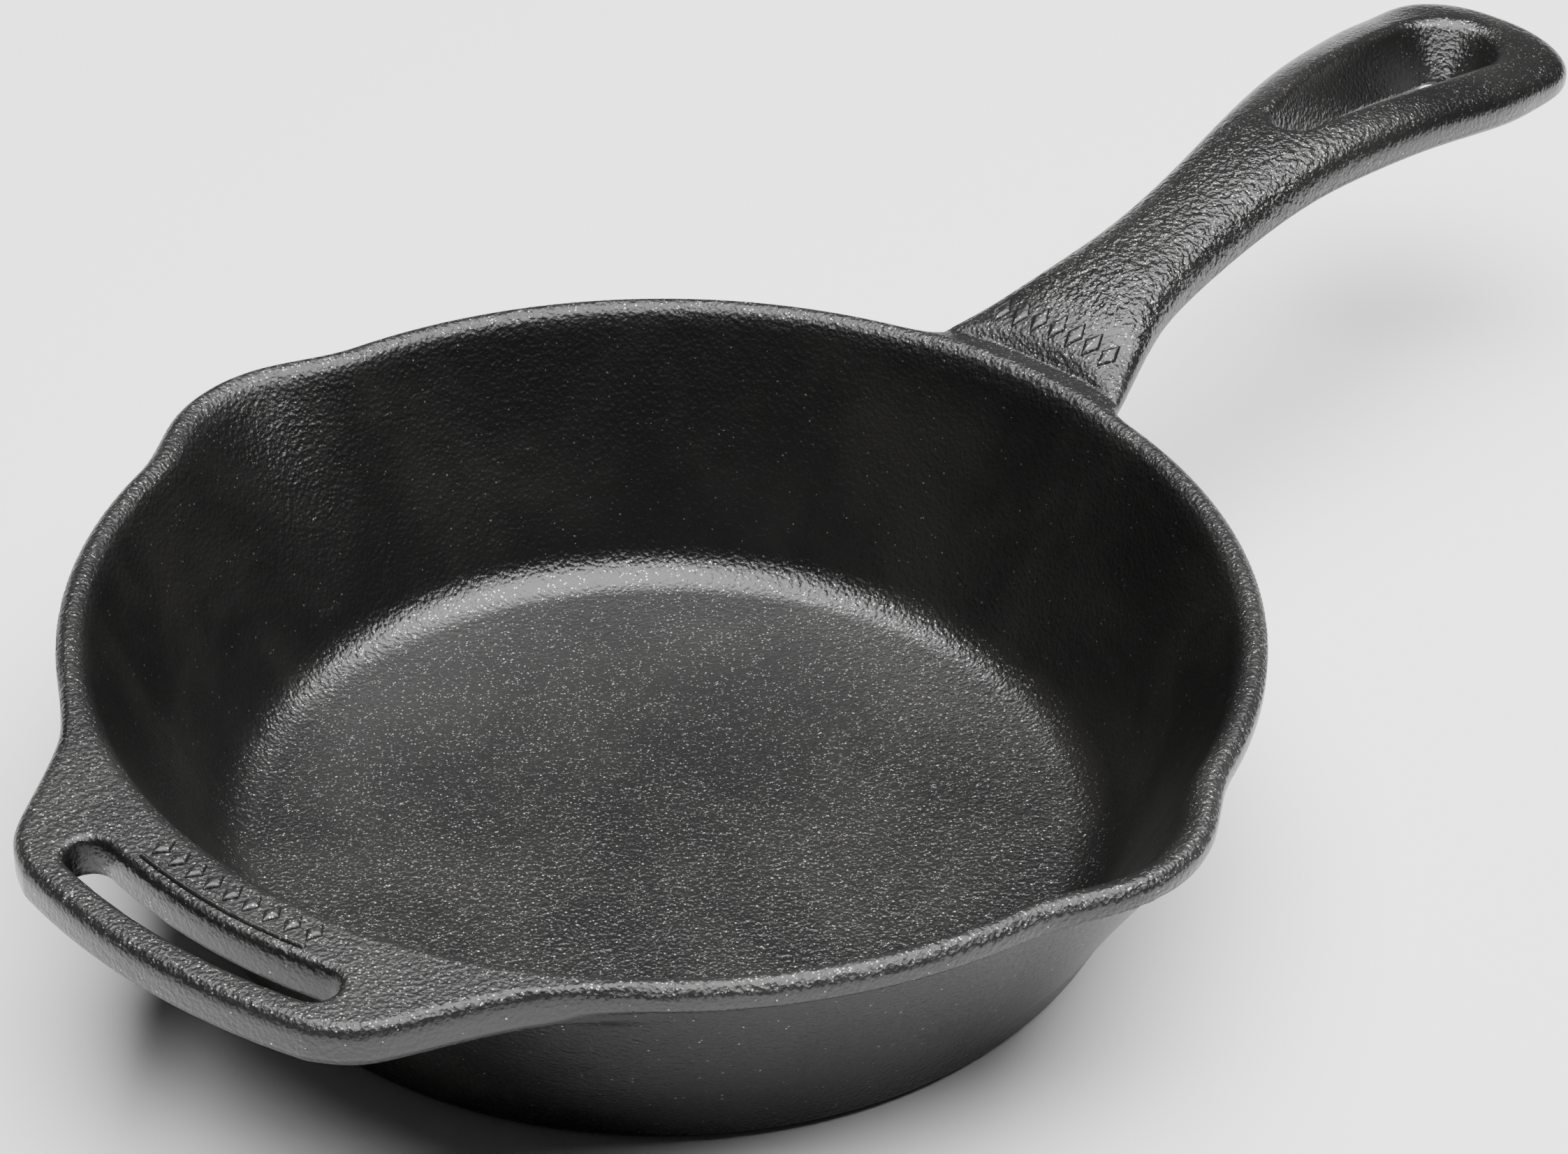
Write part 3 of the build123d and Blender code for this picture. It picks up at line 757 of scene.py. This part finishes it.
def lozenges(radius, middle, step, count, half_length, half_width):
    """Row of lozenges along an arc centred on the angle middle, long axis radial; degrees."""
    start = middle - (count - 1) / 2 * step
    out = []
    for i in range(count):
        angle = math.radians(start + step * i)
        radial = np.array([math.cos(angle), math.sin(angle)])
        along = np.array([-math.sin(angle), math.cos(angle)]) * half_width
        centre, radial = radial * radius, radial * half_length
        out.append(np.array([centre + radial, centre + along, centre - radial, centre - along]))
    return out


def arc_bar(radius, middle, half_angle, width):
    angle = np.radians(np.linspace(middle - half_angle, middle + half_angle, 40))
    ray = np.c_[np.cos(angle), np.sin(angle)]
    return np.vstack([ray * (radius + width / 2), (ray * (radius - width / 2))[::-1]])


def add_marks(material):
    helper = lozenges(radius=105.8, middle=180, step=2.3, count=9, half_length=2.3, half_width=1.4)
    helper.append(arc_bar(radius=109.6, middle=180, half_angle=9.6, width=0.9))
    root = lozenges(radius=114.0, middle=0, step=2.1, count=7, half_length=3.1, half_width=1.6)
    add_skin("helper_marks", *pads(helper), material)
    add_skin("root_marks", *pads(root), material)


# ------------------------------------------------------------------ studio, m
CAMERA_AT = Vector((-0.5236566, -0.4505455, 0.5329134))
CAMERA_RIGHT = Vector((0.63560045, -0.77191744, 0.01247148))
CAMERA_UP = Vector((0.43059626, 0.36787070, 0.82417110))
CAMERA_AHEAD = Vector((0.64077994, 0.51847334, -0.56620355))
UP = Vector((0, 0, 1))
NEAR = Vector((-CAMERA_AHEAD.x, -CAMERA_AHEAD.y, 0)).normalized()   # level, pan to camera
SIDE = Vector((NEAR.y, -NEAR.x, 0))                                 # level, camera's left


def place_object(ob, centre, x_axis, y_axis, z_axis):
    rows = [tuple(row) for row in zip(x_axis, y_axis, z_axis, centre)]
    ob.matrix_world = Matrix(rows + [(0, 0, 0, 1)])


def add_plane(name, size, material):
    bpy.ops.mesh.primitive_plane_add(size=size, location=(0, 0, 0))
    plane = bpy.context.object
    plane.name = name
    plane.data.materials.append(material)
    return plane


def add_world():
    world = bpy.data.worlds.new("studio")
    bpy.context.scene.world = world
    world.use_nodes = True
    background = world.node_tree.nodes["Background"].inputs
    background["Color"].default_value = (0.9, 0.9, 0.9, 1)
    background["Strength"].default_value = 0.05


def add_overhead():
    """Overhead soft box, reaching further behind the pan than in front of it."""
    light = bpy.data.lights.new("overhead", "AREA")
    light.shape = "RECTANGLE"
    light.size, light.size_y = 1.5, 1.35
    light.energy = 74
    ob = bpy.data.objects.new("overhead", light)
    y_axis = UP.cross(SIDE)
    place_object(ob, UP * 1.2 - NEAR * 0.075 - SIDE * 0.25, SIDE, y_axis, SIDE.cross(y_axis))
    bpy.context.scene.collection.objects.link(ob)


def add_sheet():
    """Pale sheet standing behind the pan: what the level tops mirror."""
    width, height, distance = 5.0, 1.5, 1.7
    sheet = add_plane("studio_sheet", 1, matte("pale_sheet", grey=0.15))
    place_object(sheet, UP * (height / 2) - NEAR * distance, SIDE * width, UP * height, NEAR)
    sheet.visible_camera = False  # it shapes the reflections; seen from behind it hides the pan


def add_camera():
    data = bpy.data.cameras.new("camera")
    data.sensor_width = 36.0
    data.lens = 111.104
    data.clip_end = 50
    camera = bpy.data.objects.new("camera", data)
    place_object(camera, CAMERA_AT, CAMERA_RIGHT, CAMERA_UP, -CAMERA_AHEAD)
    bpy.context.scene.collection.objects.link(camera)
    bpy.context.scene.camera = camera


# ------------------------------------------------------------------ build
iron = cast_iron("seasoned_cast_iron", hammered=1.0, relief=1.0)
worn_iron = cast_iron("worn_raised_iron", hammered=0.0, relief=0.45)
add_casting(iron)
add_marks(worn_iron)

add_plane("studio_floor", 12, matte("pale_floor", grey=0.90))
add_world()
add_overhead()
add_sheet()
add_camera()
bpy.context.view_layer.update()
